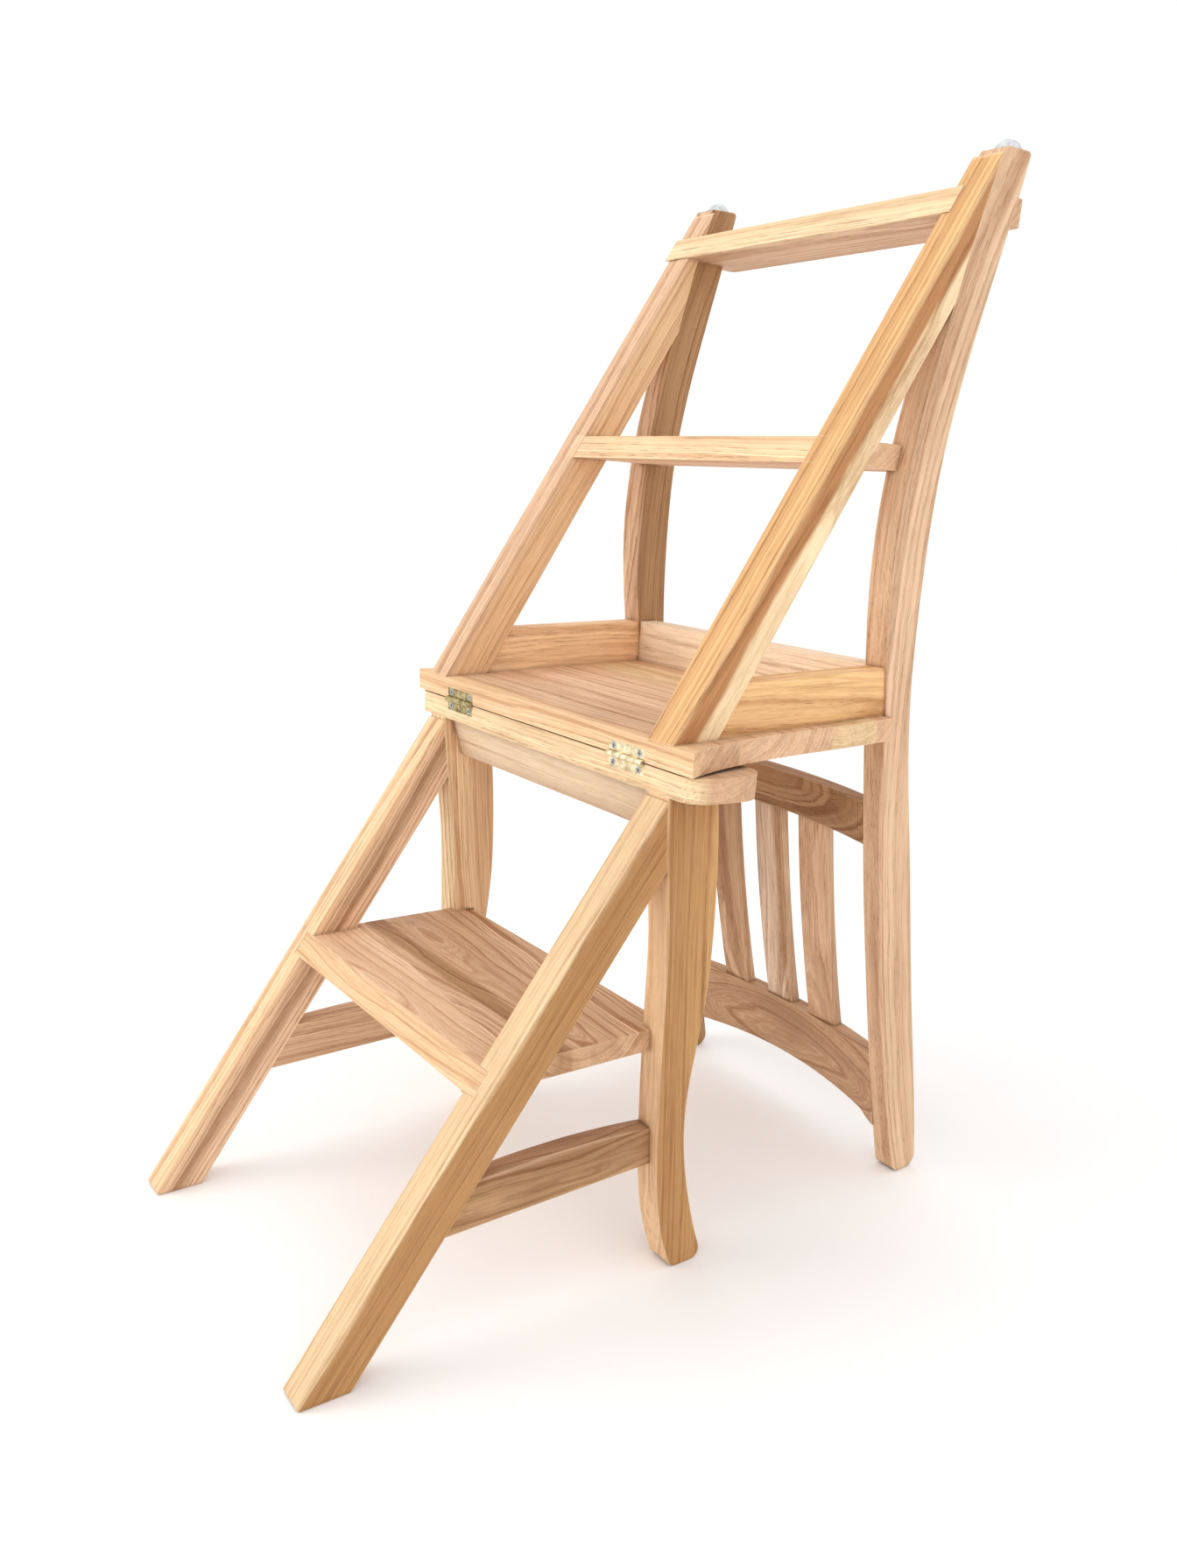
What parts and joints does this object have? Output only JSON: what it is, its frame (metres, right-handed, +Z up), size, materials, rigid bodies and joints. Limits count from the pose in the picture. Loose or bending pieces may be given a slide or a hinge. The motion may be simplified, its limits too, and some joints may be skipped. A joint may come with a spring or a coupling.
{
  "type": "library ladder",
  "caption": "Wooden library steps that fold over at the seat hinge to become a slat-backed chair, shown unfolded as steps.",
  "frame": {"origin": "centre of the footprint's bounding box, on the floor", "axes": "+X across the steps, +Y from the climbing side to the back, +Z up"},
  "size_m": [0.422, 0.6809, 0.9101],
  "materials": {
    "teak_frame": "raw, sanded",
    "teak_steps": "raw, sanded",
    "teak_back": "raw, sanded",
    "brass": "aged",
    "steel": "zinc plated",
    "nylon": "translucent white"
  },
  "bodies": {
    "front_half": {"fixed_leaf_screws": "steel", "front_apron": "teak_frame", "front_half_dowels": "teak_frame", "front_seat_board": "teak_steps", "hinge_pins": "steel", "left_front_leg": "teak_frame", "left_hinge_fixed_leaf": "brass", "left_lower_stringer": "teak_frame", "left_side_stretcher": "teak_frame", "lower_tread_back_board": "teak_steps", "lower_tread_front_board": "teak_steps", "right_front_leg": "teak_frame", "right_hinge_fixed_leaf": "brass", "right_lower_stringer": "teak_frame", "right_side_stretcher": "teak_frame"},
    "back_half": {"back_half_dowels": "teak_frame", "back_rail": "teak_back", "back_slat_1": "teak_back", "back_slat_2": "teak_back", "back_slat_3": "teak_back", "crest_rail": "teak_back", "glide_nails": "steel", "left_hinge_moving_leaf": "brass", "left_post": "teak_frame", "left_side_apron": "teak_frame", "left_upper_stringer": "teak_frame", "middle_rung": "teak_steps", "moving_leaf_screws": "steel", "post_glides": "nylon", "rear_apron": "teak_frame", "rear_seat_stave_1": "teak_steps", "rear_seat_stave_2": "teak_steps", "rear_seat_stave_3": "teak_steps", "rear_seat_stave_4": "teak_steps", "rear_seat_stave_5": "teak_steps", "right_hinge_moving_leaf": "brass", "right_post": "teak_frame", "right_side_apron": "teak_frame", "right_upper_stringer": "teak_frame", "top_tread": "teak_steps"}
  },
  "joints": [
    {"name": "seat_fold", "type": "hinge", "parent": "front_half", "child": "back_half", "pos_m": [0, -0.04406, 0.45], "axis": [1, 0, 0], "range_deg": [0, 178]}
  ]
}
